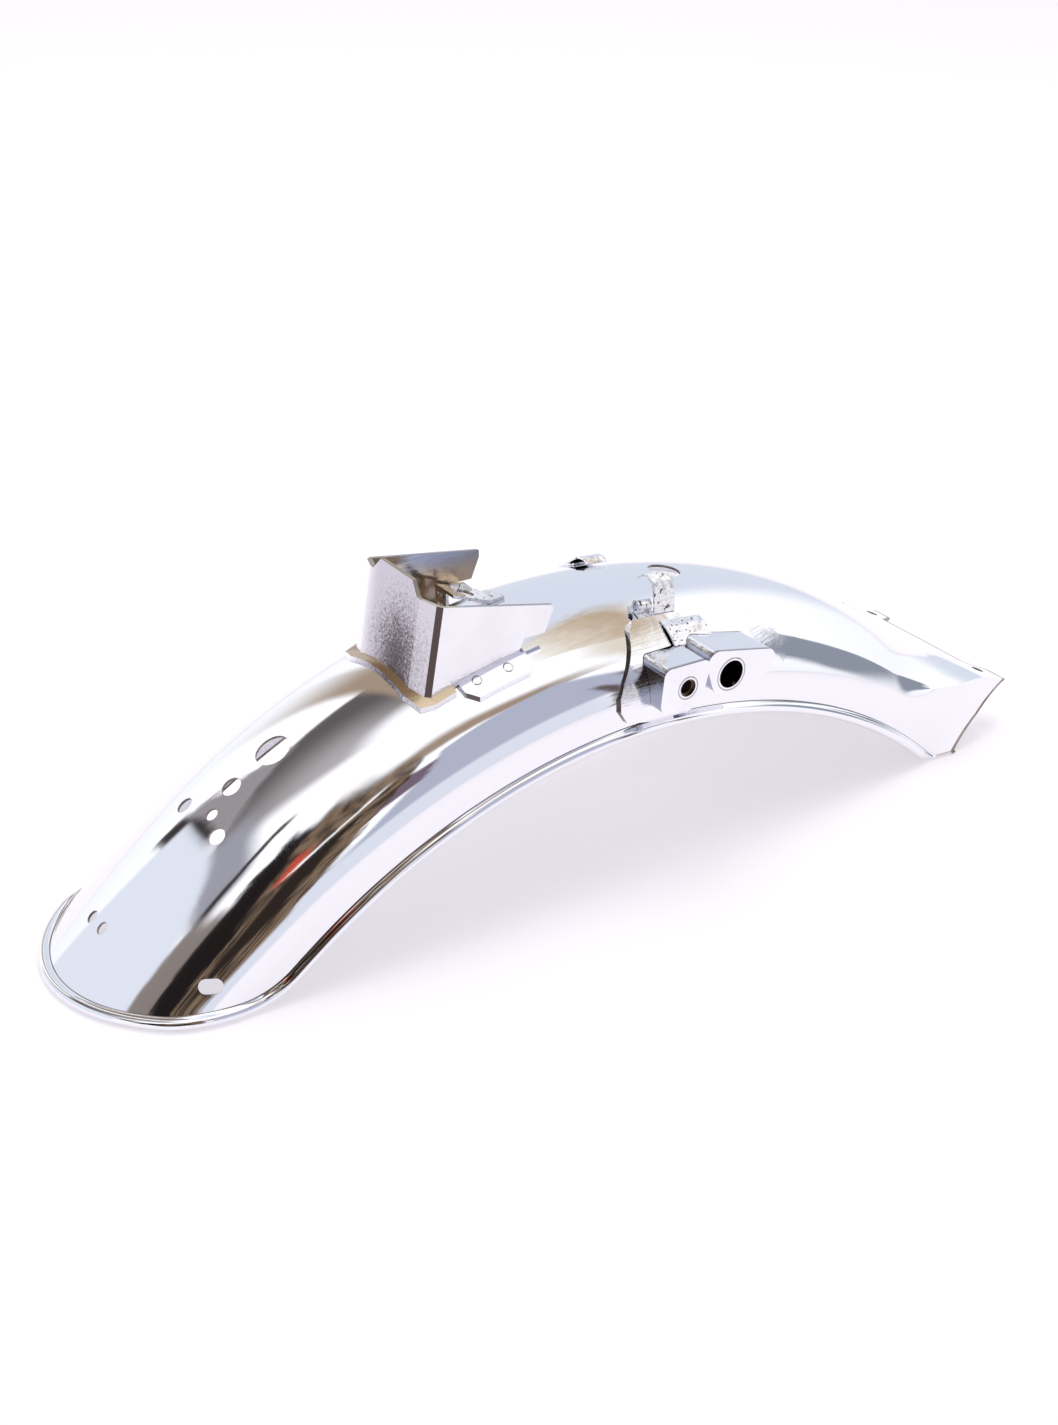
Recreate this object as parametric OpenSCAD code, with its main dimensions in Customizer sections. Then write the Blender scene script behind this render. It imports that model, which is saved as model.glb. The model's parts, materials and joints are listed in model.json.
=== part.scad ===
// Rear mudguard of a small motorcycle, chrome-plated pressed steel.
// It lies as an arch: X is its width, +Y runs from the tail to the front ears, Z = 0 is the floor.
// An angle along the arch is measured at the arch centre from straight up, positive to the front.

/* [Blade] */
// Radius of the outer crown line along the arch
arch_r = 330; // [320:1:340]
// Height of the crown line over the floor at its highest
crown_z = 122.5; // [120:0.5:125]
// Radius of the straighter crown line over the tail
tail_r = 632; // [560:4:700]
// Angle at which the straighter tail begins
tail_a = -36.5; // [-37:0.25:-35]
// Thickness of the blade sheet
sheet_t = 1.2; // [0.8:0.1:1.6]
// Radius across the crown
crown_r = 81; // [78:0.2:84]
// Half angle of the crown radius
crown_a = 37.4; // [36:0.1:39]
// Radius of the shoulder between crown and side wall
shoulder_r = 27.3; // [26:0.1:29]
// Angle of the side wall from level
wall_a = 86; // [84:0.5:88]
// Length of the straight side wall
wall_len = 6.8; // [5:0.1:9]

/* [Bead] */
// Height of the rolled bead along the rim
bead_h = 6; // [5:0.1:7]
// Step of the bead outward from the wall
bead_out = 3.2; // [2.8:0.1:4]
// Radius of the roll at the rim
bead_r = 2.4; // [2:0.1:2.6]
// Angle at which the bead runs out near the front
bead_end_a = 42.5; // [41:0.5:43.5]
// Radius of the rim where it turns level for the tail
rim_corner_r = 40; // [34:1:44]

/* [Front end] */
// Slope of the flat front plate below level
plate_slope = 22.6; // [21:0.1:24]
// Distance of the plate plane from the arch centre
plate_d = 313; // [311:0.5:315]
// Angle at which the crown starts to flatten
flat_from_a = 33.5; // [31:0.5:35]
// Angle at which the flattening is complete
flat_to_a = 45; // [44:0.5:46]
// Angle of the front edge between the ears
front_mid_a = 46.1; // [45.6:0.1:46.6]
// Angle of the front edge of the ears
ear_a = 48.2; // [47.8:0.1:48.8]
// Angle of the front edge of the side walls
wall_front_a = 45.2; // [44.8:0.1:45.8]
// Half width of the plate at the front of the ears
ear_half_w = 49.5; // [47:0.5:52]
// Half width of the plate where it leaves the shoulders
plate_half_w = 58; // [56:0.5:60]
// Angle across the section of the line that becomes the plate's edge
edge_a = 55; // [50:1:60]
// Outward flare of the front edge of the side walls
front_flare = 3; // [1:0.5:5]

/* [Holes] */
// Diameter of the wiring hole near the tail bracket
wire_hole_d = 16.5; // [14:0.5:18]
// Angle of the wiring hole
wire_hole_a = -28.1; // [-29:0.1:-27]
// Diameter of the middle hole
mid_hole_d = 9.5; // [8:0.5:11]
// Angle of the middle hole
mid_hole_a = -32.2; // [-32.6:0.1:-31.8]
// Diameter of the two tail-lamp holes
lamp_hole_d = 8; // [6.5:0.5:9]
// Distance between the tail-lamp holes
lamp_pitch = 30; // [28:0.5:32]
// Angle of the tail-lamp holes
lamp_a = -35.6; // [-36:0.1:-35.2]
// Diameter of the small locating holes
pin_hole_d = 6; // [4:0.5:6.5]
// Diameter of the round hole on top of the crown
crown_hole_d = 16; // [14:0.5:18]
// Angle of the round hole on top of the crown
crown_hole_a = 10.2; // [9.8:0.1:10.8]
// Width of the flap slots at the tail
slot_w = 6.5; // [5.5:0.5:7]
// Whole length of the flap slots
slot_len = 10.5; // [9.5:0.5:12]
// Diameter of the ear holes
ear_hole_d = 6.5; // [5.5:0.5:7]
// Distance between the ear holes
ear_pitch = 81; // [79:0.5:82]

/* [Tail bracket] */
// Sheet thickness of the welded brackets
bracket_t = 2; // [1.6:0.1:2.4]
// Outer width over the wings
wing_w = 61; // [58:0.5:64]
// Width of the flat plate between its two chamfer strips
plate_w = 40; // [36:0.5:42]
// Lean of the plate from upright
plate_lean = 8.3; // [7:0.1:9.5]
// Place of the foot of the plate along Y
plate_y = -98.6; // [-100:0.1:-97]
// Height of the plate at its corners
plate_top_z = 148; // [146:0.5:150]
// Rise of the middle of the plate over its corners
plate_rise = 6; // [4:0.5:8]
// Distance of the notches in the plate's top edge from the middle
notch_x = 18; // [16:0.5:20]
// Place of the wing tips along Y
wing_tip_y = -29.5; // [-32:0.5:-27]
// Height of the right wing tip
wing_tip_z = 133.5; // [131:0.5:136]
// Rise of the left wing tip over the right one
left_tip_rise = 4; // [1:0.5:5]
// Diameter of the hole in the catch plate
catch_hole_d = 8; // [7:0.5:9]
// Width of the welding feet
foot_w = 10.5; // [9:0.5:12]
// Angle along the arch of the rear end of the welding feet
foot_a0 = -14.2; // [-15:0.1:-13]
// Angle along the arch of the front end of the welding feet
foot_a1 = -8; // [-8.3:0.1:-7.5]

/* [Side bracket] */
// Distance of the outer face of the side bracket from the side of the blade
flange_out = 9.15; // [8.5:0.05:12]
// Sheet thickness of the side bracket
side_t = 1.8; // [1.5:0.1:2.1]
// Diameter of the large hole in the side bracket
big_hole_d = 13.5; // [12:0.5:15]
// Diameter of the small hole in front of the weld nut
small_hole_d = 8.4; // [8:0.2:9]
// Height of both holes
side_hole_z = 95.3; // [94.8:0.1:96]
// Place of the small hole along Y
small_hole_y = 19.2; // [18.5:0.1:19.6]
// Distance between the two holes
side_hole_pitch = 25.4; // [25:0.1:26]
// Width across the flats of the weld nut
nut_af = 13; // [12:0.5:13]
// Height of the weld nut
nut_h = 5.5; // [5:0.1:6]
// Bore of the weld nut before tapping
nut_bore_d = 6.8; // [6.6:0.1:7]

/* [Clips] */
// Width of the wire clips
clip_w = 12; // [10:0.5:13]
// Width of the rolled tongue of the wire clips
tongue_w = 8; // [6:0.5:9]
// Angle of the wire clips along the arch
clip_a = 5.6; // [5:0.1:6]
// Width of the strap clip
strap_w = 23; // [18:0.5:24]
// Sheet thickness of the clips
clip_t = 1; // [0.8:0.1:1.2]

/* [Hidden] */
$fn = 64;
// Shift along Y that puts the origin in the middle of the footprint
place_y = 3.4;
// Clearance between a welded piece and the sheet that it sits on
seat = 0.1;
// Clearance used to carry a cut past a face
past = 1;

// Depth of the arch centre below the floor
arch_drop = arch_r - crown_z;
// Lengths along the half section: end of crown, plate edge, end of shoulder, end of wall
u_crown = crown_r * crown_a * PI / 180;
u_edge = u_crown + shoulder_r * (edge_a - crown_a) * PI / 180;
u_shoulder = u_crown + shoulder_r * (wall_a - crown_a) * PI / 180;
u_wall = u_shoulder + wall_len;
shoulder_x = (crown_r - shoulder_r) * sin(crown_a);
shoulder_drop = crown_r - (crown_r - shoulder_r) * cos(crown_a);
// Outer face of the side bracket
side_face_x = shoulder_x + shoulder_r * sin(wall_a) + flange_out;
// Centre of the tail radius, so that both crown lines meet without a kink
tail_cy = (arch_r - tail_r) * sin(tail_a);
tail_cz = -arch_drop + (arch_r - tail_r) * cos(tail_a);

function clamp01(v) = min(1, max(0, v));
function ease(v) = let (c = clamp01(v)) c * c * (3 - 2 * c);
function mix(p, q, w) = p + (q - p) * w;
function unit(v) = v / norm(v);
// Radius from the arch centre to the skin of the crown, x from the middle
function skin_r(x) = arch_r - crown_r + sqrt(crown_r * crown_r - x * x);

// Half section of the blade at a length u: its slope, place across and depth below the crown line,
// h under the skin
function sec_th(u) =
    u < u_crown ? u / crown_r * 180 / PI
    : min(wall_a, crown_a + (u - u_crown) / shoulder_r * 180 / PI);
function sec_x(u, h) =
    u < u_crown ? (crown_r - h) * sin(sec_th(u))
    : shoulder_x + (shoulder_r - h) * sin(sec_th(u)) + max(0, u - u_shoulder) * cos(wall_a);
function sec_drop(u, h) =
    u < u_crown ? crown_r - (crown_r - h) * cos(sec_th(u))
    : shoulder_drop - (shoulder_r - h) * cos(sec_th(u)) + max(0, u - u_shoulder) * sin(wall_a);

// A point x across, drop below the crown line, at angle a along the arch
function on_arch(x, drop, a) =
    a >= tail_a ? [x, (arch_r - drop) * sin(a), -arch_drop + (arch_r - drop) * cos(a)]
    : [x, tail_cy + (tail_r - drop) * sin(a), tail_cz + (tail_r - drop) * cos(a)];

// Front end: the crown flattens into the ear plate and the shoulder becomes an edge
function flat(a) = ease((a - flat_from_a) / (flat_to_a - flat_from_a));
function plate_r(a) = plate_d / cos(a - plate_slope);
function plate_edge_x(a) = mix(plate_half_w, ear_half_w, clamp01((a - 41) / (ear_a - 41)));
function lift(u, a) = let (d = plate_r(a) - arch_r + sec_drop(u, 0)) flat(a) * (d + sqrt(d * d + 16)) / 2;
// The bead shrinks to nothing just behind the front edge, and the wall ends on the floor there.
// foot_rise and rim_rise make up for the slant of the bead, so that both ends touch the floor.
foot_rise = 0.6;
rim_rise = 0.15;
function bead_size(a) = 1 - 0.75 * ease((a - bead_end_a + 1.5) / 2.5);
function rim_drop(a) = min(sec_drop(u_wall, 0), arch_r - (arch_drop + foot_rise) / cos(a) - bead_h * bead_size(a));
function share(v, v0, v1) = (v - v0) / (v1 - v0);
function wall_x(u, a) =
    let (q = share(u, u_edge, u_wall), s = share(sec_x(u, 0), sec_x(u_edge, 0), sec_x(u_wall, 0)))
    mix(front_x(u_edge, a, 0), sec_x(u_wall, 0), mix(s, q, flat(a)))
        + front_flare * ease((a - 41) / 5) * min(1, 2 * q);
function wall_drop(u, a) =
    let (q = share(u, u_edge, u_wall), s = share(sec_drop(u, 0), sec_drop(u_edge, 0), sec_drop(u_wall, 0)))
    mix(front_drop(u_edge, a, 0), rim_drop(a), mix(s, q, flat(a)));
function front_x(u, a, h) =
    u <= u_edge ? mix(sec_x(u, h), (plate_edge_x(a) - h) * u / u_edge, flat(a))
    : wall_x(u, a) - h * sin(sec_th(u));
function front_drop(u, a, h) =
    u <= u_edge ? sec_drop(u, h) - lift(u, a) + flat(a) * h * (1 - cos(sec_th(u)))
    : wall_drop(u, a) + h * cos(sec_th(u)) * (1 - flat(a));
function front_edge_a(u) =
    u <= u_edge ? mix(front_mid_a, ear_a, ease((u / u_edge * ear_half_w - 27) / 12))
    : let (q = share(u, u_edge, u_wall)) wall_front_a + (ear_a - wall_front_a) * pow(1 - q, 2.6);
// The outer face of the blade, h under the skin
function skin(u, a, h = 0) =
    a > flat_from_a ? on_arch(front_x(u, a, h), front_drop(u, a, h), a)
    : on_arch(sec_x(u, h), sec_drop(u, h), a);

// Rim of the tail: it lies level so that the roll touches the floor all round, with a round corner
// up to the arch. tail_slope is the slope of the tail there.
tail_slope = 42;
function rim_z(u) = let (n = cos(sec_th(u)) * cos(tail_slope))
    bead_h * sqrt(1 - n * n) - (bead_out - bead_r) * n + rim_rise;
rim_r = tail_r - sec_drop(u_wall, 0);
corner_z = rim_z(u_wall) + rim_corner_r;
corner_y = tail_cy - sqrt(pow(rim_r + rim_corner_r, 2) - pow(corner_z - tail_cz, 2));
corner_a = -acos((corner_z - tail_cz) / (rim_r + rim_corner_r));
function drop_to_u(drop) =
    drop <= sec_drop(u_crown, 0) ? crown_r * acos(1 - drop / crown_r) * PI / 180
    : drop <= sec_drop(u_shoulder, 0)
        ? u_crown + shoulder_r * (acos((shoulder_drop - drop) / shoulder_r) - crown_a) * PI / 180
    : u_shoulder + (drop - sec_drop(u_shoulder, 0)) / sin(wall_a);
// Rim points as [length across, angle along]
function rim_corner(s) = let (b = -corner_a * (1 - s), y = corner_y + rim_corner_r * sin(b) - tail_cy,
    z = corner_z - rim_corner_r * cos(b) - tail_cz) [drop_to_u(tail_r - norm([y, z])), -atan2(-y, z)];
level_u = rim_corner(1)[0];
function rim_level(u) = let (z = rim_z(u) + (rim_z(u_wall) - rim_z(level_u)) * u / level_u)
    [u, -acos((z - tail_cz) / (tail_r - sec_drop(u, 0)))];

// Columns of the blade grid, from the front edge to the tail apex
front_cols = 13;
arch_cols = 24;
corner_cols = 5;
tail_cols = 13;
cols = front_cols + arch_cols + corner_cols + tail_cols;
// Rows from the centre line to the rim, then round the bead
row_u = [for (k = [0:6]) u_crown * k / 6, for (k = [1:2]) mix(u_crown, u_edge, k / 2),
    for (k = [1:3]) mix(u_edge, u_shoulder, k / 3), u_wall];
rows = len(row_u) - 1;
roll_angles = [-60, -20, 20, 60, 90];
all_rows = rows + 1 + len(roll_angles);
front_from_a = flat_from_a - 4;
tail_hub_a = corner_a - 2;

// Rim point and centre-line angle of each tail column
function tail_rim(i) = i <= corner_cols ? rim_corner(i / corner_cols)
    : rim_level(level_u * cos(90 * (i - corner_cols) / tail_cols));
function tail_mid_a(i) = mix(corner_a, tail_hub_a, ease(i / (corner_cols + tail_cols)));
// Place of column i on row k as [length across, angle along]
function spot(i, k) =
    i < front_cols ? [row_u[k], mix(front_edge_a(row_u[k]), front_from_a, i / front_cols)]
    : i <= front_cols + arch_cols
        ? [row_u[k], mix(front_from_a, corner_a, (i - front_cols) / arch_cols)]
    : let (j = i - front_cols - arch_cols, rim = tail_rim(j), f = row_u[k] / u_wall)
        [rim[0] * f, mix(tail_mid_a(j), rim[1], f)];
function wall_point(i, k, h) = let (p = spot(i, k)) skin(p[0], p[1], h);

// The bead at column i: its own axes on the rim, then the roll
function rim_along(i) = i == cols ? [-1, 0, 0]
    : unit(wall_point(i + 1, rows, 0) - wall_point(max(0, i - 1), rows, 0));
function rim_out(i) = unit(cross(rim_along(i), wall_point(i, rows, 0) - wall_point(i, rows - 1, 0)));
function rim_down(i) = unit(cross(rim_out(i), rim_along(i)));
function roll_size(i) = i > front_cols ? 1 : bead_size(spot(i, rows)[1]);
// Outward and downward place on the roll: step 0 leaves the wall, the others go round the roll
function roll(step, h) = step == 0 ? [0.5 - 1.1 * h / sheet_t, 0.6 + h / 2]
    : let (t = roll_angles[step - 1])
        [bead_out - bead_r + (bead_r - h) * cos(t), bead_h - bead_r + (bead_r - h) * sin(t)];
function bead_point(i, step, h) = let (b = roll(step, h), q = roll_size(i), o = b[0] * q - h * (1 - q))
    wall_point(i, rows, 0) + rim_out(i) * o + rim_down(i) * b[1] * q;
function grid_point(i, k, h) = k <= rows ? wall_point(i, k, h) : bead_point(i, k - rows - 1, h);
function flip(p) = [-p[0], p[1], p[2]];
function quad(p, q, r, s) = [[p, q, s], [q, r, s]];

module blade_sheet() {
    n = all_rows + 1;
    half = (cols + 1) * n;
    side = cols * all_rows;
    right = [for (h = [0, sheet_t]) for (i = [0:cols]) for (k = [0:all_rows]) grid_point(i, k, h)];
    left = [for (h = [0, 1]) for (i = [0:cols - 1]) for (k = [1:all_rows]) flip(right[h * half + i * n + k])];
    function r(h, i, k) = h * half + i * n + k;
    function l(h, i, k) = k == 0 || i == cols ? r(h, i, k) : 2 * half + h * side + i * all_rows + k - 1;
    faces = [
        for (i = [0:cols - 1]) for (k = [0:all_rows - 1]) for (f = concat(
            quad(r(0, i, k), r(0, i, k + 1), r(0, i + 1, k + 1), r(0, i + 1, k)),
            quad(r(1, i, k), r(1, i + 1, k), r(1, i + 1, k + 1), r(1, i, k + 1)),
            quad(l(0, i, k), l(0, i + 1, k), l(0, i + 1, k + 1), l(0, i, k + 1)),
            quad(l(1, i, k), l(1, i, k + 1), l(1, i + 1, k + 1), l(1, i + 1, k)))) f,
        for (k = [0:all_rows - 1]) for (f = concat(
            quad(r(0, 0, k), r(1, 0, k), r(1, 0, k + 1), r(0, 0, k + 1)),
            quad(l(0, 0, k), l(0, 0, k + 1), l(1, 0, k + 1), l(1, 0, k)))) f,
        for (i = [0:cols - 1]) for (f = concat(
            quad(r(0, i, all_rows), r(1, i, all_rows), r(1, i + 1, all_rows), r(0, i + 1, all_rows)),
            quad(l(0, i, all_rows), l(0, i + 1, all_rows), l(1, i + 1, all_rows), l(1, i, all_rows)))) f
    ];
    polyhedron(concat(right, left), faces, convexity = 6);
}

// Carries a cylinder or prism to the skin at [x, angle], its own Z along the skin's normal
module at_skin(x, a) {
    p = skin(crown_r * asin(abs(x) / crown_r) * PI / 180, a);
    translate([x, p[1], p[2]]) rotate([-a, 0, 0]) rotate([0, asin(x / crown_r), 0]) children();
}
module punch(x, a, d) {
    at_skin(x, a) cylinder(d = d, h = 24, center = true);
}
ear_hole_y = 246.1;
ear_hole_z = plate_d / cos(plate_slope) - arch_drop - ear_hole_y * tan(plate_slope);
slot_at = [53.6, -216.3, 15.1];

module blade() {
    color([0.87, 0.88, 0.92]) difference() {
        blade_sheet();
        punch(0, wire_hole_a, wire_hole_d);
        punch(0, mid_hole_a, mid_hole_d);
        punch(4, -34.7, pin_hole_d);
        for (s = [-1, 1]) punch(s * lamp_pitch / 2, lamp_a, lamp_hole_d);
        for (x = [-10.6, 0.4]) punch(x, -41.6, pin_hole_d);
        punch(0, crown_hole_a, crown_hole_d);
        for (s = [-1, 1]) {
            translate([s * ear_pitch / 2, ear_hole_y, ear_hole_z]) rotate([-plate_slope, 0, 0])
                cylinder(d = ear_hole_d, h = 16, center = true);
            translate([s * slot_at[0], slot_at[1], slot_at[2]]) rotate([0, 0, s * -28]) rotate([0, s * 62, 0])
                slot_punch();
        }
    }
}
module slot_punch() {
    reach = (slot_len - slot_w) / 2;
    for (s = [-1, 1]) translate([0, s * reach, 0]) cylinder(d = slot_w, h = 24, center = true);
    cube([slot_w, 2 * reach, 24], center = true);
}

// The filled section of the blade grown by h, as [radius, place across]
module section_fill(h) {
    hub = arch_r - crown_r;
    wall_top = arch_r - shoulder_drop + (shoulder_r + h) * cos(wall_a);
    wall_low = arch_r - sec_drop(u_wall, 0);
    intersection() {
        translate([hub, 0]) circle(r = crown_r + h, $fn = 180);
        polygon([[hub, 0], [hub + 2 * crown_r * cos(crown_a), 2 * crown_r * sin(crown_a)],
            [hub + 3 * crown_r, 0], [hub + 2 * crown_r * cos(crown_a), -2 * crown_r * sin(crown_a)]]);
    }
    for (s = [-1, 1]) {
        translate([arch_r - shoulder_drop, s * shoulder_x]) circle(r = shoulder_r + h, $fn = 90);
        polygon([[hub, 0], [wall_low, 0], [wall_low, s * (sec_x(u_wall, 0) + h)],
            [wall_top, s * (shoulder_x + (shoulder_r + h) * sin(wall_a))],
            [arch_r - shoulder_drop, s * shoulder_x]]);
    }
}
// The section swept along the arch between two angles
module sweep(a0, a1) {
    translate([0, 0, -arch_drop]) rotate([90, 0, 90]) rotate([0, 0, 90 - a1])
        rotate_extrude(angle = a1 - a0, $fn = 180) children();
}
module envelope(h, a0, a1) {
    sweep(a0, a1) section_fill(h);
}
module welded_skin(t, a0, a1) {
    sweep(a0, a1) difference() {
        section_fill(seat + t);
        section_fill(seat);
    }
}
// Extrudes a side view, drawn as [Y, Z], from x0 to x1
module side_view(x0, x1) {
    translate([x0, 0, 0]) rotate([90, 0, 90]) linear_extrude(x1 - x0) children();
}
module round_poly(pts, r) {
    hull() for (p = pts) translate(p) circle(r = r, $fn = 32);
}

// Tail bracket: plan outline of the folded sheet, pts run from one wing end round the plate
fold_in = 3.2;
module bracket_plan(g) {
    hw = wing_w / 2 + g;
    pw = plate_w / 2 + g * 0.6;
    polygon([[-hw, 90 - g], [-hw, fold_in + 2.4], [-hw + 2, fold_in - g], [-pw, -g], [pw, -g],
        [hw - 2, fold_in - g], [hw, fold_in + 2.4], [hw, 90 - g]]);
}
module bracket_frame() {
    foot_z = sqrt(arch_r * arch_r - plate_y * plate_y) - arch_drop;
    translate([0, plate_y, foot_z]) rotate([-plate_lean, 0, 0]) children();
}
module tail_bracket() {
    lean_y = (plate_top_z - 108) * tan(plate_lean);
    top_y = plate_y + lean_y;
    color([0.80, 0.80, 0.83]) {
        difference() {
            folded_wall();
            // Top edge of the wings
            side_view(notch_x + 1, wing_w) wing_top_cut(top_y, wing_tip_z);
            side_view(-wing_w, -notch_x - 1) wing_top_cut(top_y, wing_tip_z + left_tip_rise);
            // Wing tips with their stepped lower edge
            side_view(0, wing_w) wing_tip_cut(0);
            side_view(-wing_w, 0) wing_tip_cut(left_tip_rise - 1);
            // Raised middle of the plate, between two notches
            translate([0, top_y + 20, 0]) rotate([90, 0, 0]) linear_extrude(60) plate_top_cut();
        }
        for (m = [0, 1]) mirror([m, 0, 0]) foot();
        intersection() {
            welded_skin(bracket_t, -30, 10);
            lip_plan();
        }
    }
}
// Plate and wings folded from one sheet, standing on the crown
module folded_wall() {
    difference() {
        bracket_frame() translate([0, 0, -30]) linear_extrude(100) difference() {
            bracket_plan(0);
            bracket_plan(-bracket_t);
        }
        envelope(seat + bracket_t / 3, -30, 10);
    }
}
// Everything in front of and under the wing tips, as [Y, Z]
module wing_tip_cut(rise) {
    y0 = wing_tip_y;
    polygon([[y0 - 17.5, 40], [y0 - 17.5, 116 + rise], [y0 - 15, 121 + rise], [y0 - 4, 121 + rise],
        [y0, 131 + rise], [y0, 240], [60, 240], [60, 40]]);
}
// Everything over the sloping top edge of a wing with its tip at height tip_z, as [Y, Z]
module wing_top_cut(top_y, tip_z) {
    fall = (plate_top_z - tip_z) / (wing_tip_y - top_y);
    polygon([[top_y - 40, plate_top_z + 40 * fall], [wing_tip_y, tip_z], [60, tip_z], [60, 240],
        [top_y - 40, 240]]);
}
// Everything over the top edge of the plate between the wings, as [X, Z] in front view
module plate_top_cut() {
    z = plate_top_z;
    polygon([[-notch_x - 2, z + 1], [-notch_x, z], [-notch_x + 5, z + plate_rise], [notch_x - 5, z + plate_rise],
        [notch_x, z], [notch_x + 2, z + 1], [notch_x + 2, 240], [-notch_x - 2, 240]]);
}
// Right welding foot, curved like the crown that it sits on, with cut corners
module foot() {
    x0 = (wing_w - bracket_t) / 2;
    x1 = wing_w / 2 + foot_w;
    difference() {
        sweep(foot_a0, foot_a1) intersection() {
            difference() {
                section_fill(seat + bracket_t);
                section_fill(seat);
            }
            translate([arch_r - 30, x0]) square([50, x1 - x0]);
        }
        // Cutters centred just past both ends of the outer edge
        for (y = [(arch_r - 10) * sin(foot_a0) - past, (arch_r - 10) * sin(foot_a1) + past])
            translate([x1 + past, y, 60]) rotate(45) translate([-4, -4, 0]) cube([8, 8, 90]);
    }
}
module lip_plan() {
    foot_z = sqrt(arch_r * arch_r - plate_y * plate_y) - arch_drop;
    intersection() {
        bracket_frame() translate([0, 0, -30]) linear_extrude(100) difference() {
            bracket_plan(3.6);
            bracket_plan(-bracket_t / 2);
        }
        translate([-50, -120, 0]) cube([100, 37.5, 200]);
    }
}

// Catch plate: sloping tongue with a round hole inside the tail bracket. It is folded from one strip,
// with a slotted leg at its rear, a low flap on its left and a foot welded to the crown.
catch_x0 = -23;
catch_x1 = -8;
catch_t = 1.5;
catch_leg_w = 9;
module catch_plate() {
    color([0.83, 0.82, 0.84]) {
        difference() {
            union() {
                side_view(catch_x0, catch_x1) polygon([[-57, 129.6], [-33, 120.4], [-33, 112],
                    [-36.8, 112], [-36.8, 120.2], [-57, 128]]);
                side_view(catch_x0, catch_x0 + catch_leg_w) polygon([[-57, 129.6], [-55.5, 129],
                    [-55.5, 105], [-57, 105]]);
                side_view(catch_x0, catch_x0 + catch_t) polygon([[-51, 126.3], [-49, 127.6], [-41.5, 126.4],
                    [-37.5, 122.8], [-38, 121.3]]);
            }
            translate([(catch_x0 + catch_x1) / 2, -45.4, 100]) cylinder(d = catch_hole_d, h = 40);
            for (z = [119.5, 124.5]) translate([catch_x0 + 2, -60, z]) cube([catch_leg_w - 3, 8, 1.8]);
            envelope(seat, -30, 10);
        }
        intersection() {
            welded_skin(catch_t, -30, 10);
            translate([catch_x0, -37, 100]) cube([catch_x1 - catch_x0, 8, 60]);
        }
    }
}

// Side bracket: two pressed lobes on a flange that follows the shoulder
module lobe_rear(g) {
    hull() for (p = [[9, 103.5, 4], [27.5, 103, 4], [9, 90, 5], [24, 92, 5]])
        translate([p[0], p[1]]) circle(r = p[2] + g, $fn = 32);
}
module lobe_front(g) {
    hull() for (p = [[36, 103, 6], [65.5, 97.5, 5], [42, 94.8, 9], [65, 94.5, 5]])
        translate([p[0], p[1]]) circle(r = p[2] + g, $fn = 32);
}
module hat(g, x_face) {
    side_view(40, x_face) {
        lobe_rear(g);
        lobe_front(g);
    }
}
module bracket_outline() {
    polygon([[26, 118], [15, 118], [7, 114], [2, 109], [-2, 105.5], [-8, 100], [-12, 94], [-12.6, 88],
        [-9, 82], [11.4, 76.9], [24, 75.5], [31, 80], [45, 80.5], [60, 83], [72, 84], [84, 83.4],
        [89, 87], [90.5, 92], [90, 99], [86, 103], [80, 106], [73.5, 109], [60, 112], [40, 116]]);
}
module side_bracket() {
    face = side_face_x;
    color([0.85, 0.86, 0.90]) difference() {
        union() {
            hat(0, face);
            intersection() {
                welded_skin(side_t, -10, 30);
                side_view(34.5, 75) bracket_outline();
            }
        }
        hat(-side_t, face - side_t);
        envelope(seat, -12, 32);
        side_view(50, face + past) translate([small_hole_y, side_hole_z])
            circle(d = small_hole_d);
        side_view(50, face + past) translate([small_hole_y + side_hole_pitch, side_hole_z])
            circle(d = big_hole_d);
    }
}

// Weld nut on the inside of the small hole
module weld_nut() {
    face = side_face_x - side_t;
    color([0.55, 0.52, 0.48]) side_view(face - nut_h, face) difference() {
        translate([small_hole_y, side_hole_z]) circle(d = nut_af / cos(30), $fn = 6);
        translate([small_hole_y, side_hole_z]) circle(d = nut_bore_d);
    }
}

// Wire clip on the crown, drawn for the right side: a bent strip with a curl at each end. Its points
// are measured from the skin under base_x.
module strip(pts, t) {
    n = len(pts);
    function side(i) = let (d = unit(pts[min(n - 1, i + 1)] - pts[max(0, i - 1)])) [-d[1], d[0]] * t;
    polygon(concat(pts, [for (i = [n - 1:-1:0]) pts[i] + side(i)]));
}
module wire_clip(pts, tongue, base_x) {
    ring = crown_r + seat;
    roll_x = 29.5;
    roll_r = 2.9;
    mid = [0, arch_r - crown_r];
    translate([0, 0, -arch_drop]) rotate([-clip_a, 0, 0]) rotate([90, 0, 0]) difference() {
        union() {
            // Standing strip, curled over at the top
            translate([0, 0, -clip_w / 2]) linear_extrude(clip_w)
                translate([base_x, skin_r(base_x)]) strip(pts, clip_t);
            // Base on the crown, with a rolled tongue at its rear
            translate([0, 0, -clip_w / 2]) linear_extrude(clip_w + tongue) intersection() {
                translate(mid) circle(r = ring + clip_t, $fn = 180);
                translate([roll_x - 1, arch_r - 30]) square([base_x - roll_x + 1, 30]);
            }
            if (tongue > 0) translate([roll_x, mid[1] + sqrt(pow(ring + roll_r + 0.2, 2) - roll_x * roll_x),
                clip_w / 2 + 0.5]) linear_extrude(tongue - 0.5) difference() {
                    circle(r = roll_r);
                    circle(r = roll_r - clip_t);
                }
        }
        translate([0, mid[1], -clip_w]) linear_extrude(clip_w * 3) circle(r = ring, $fn = 180);
    }
}
module wire_clip_right() {
    color([0.82, 0.82, 0.85]) wire_clip([[0, -8.4], [0, 2.6], [-1, 7.6], [-2.2, 12.6], [-4.4, 16.4],
        [-8.7, 18.2], [-12.2, 17.4], [-15.2, 15]], tongue_w, 34.2);
}
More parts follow.
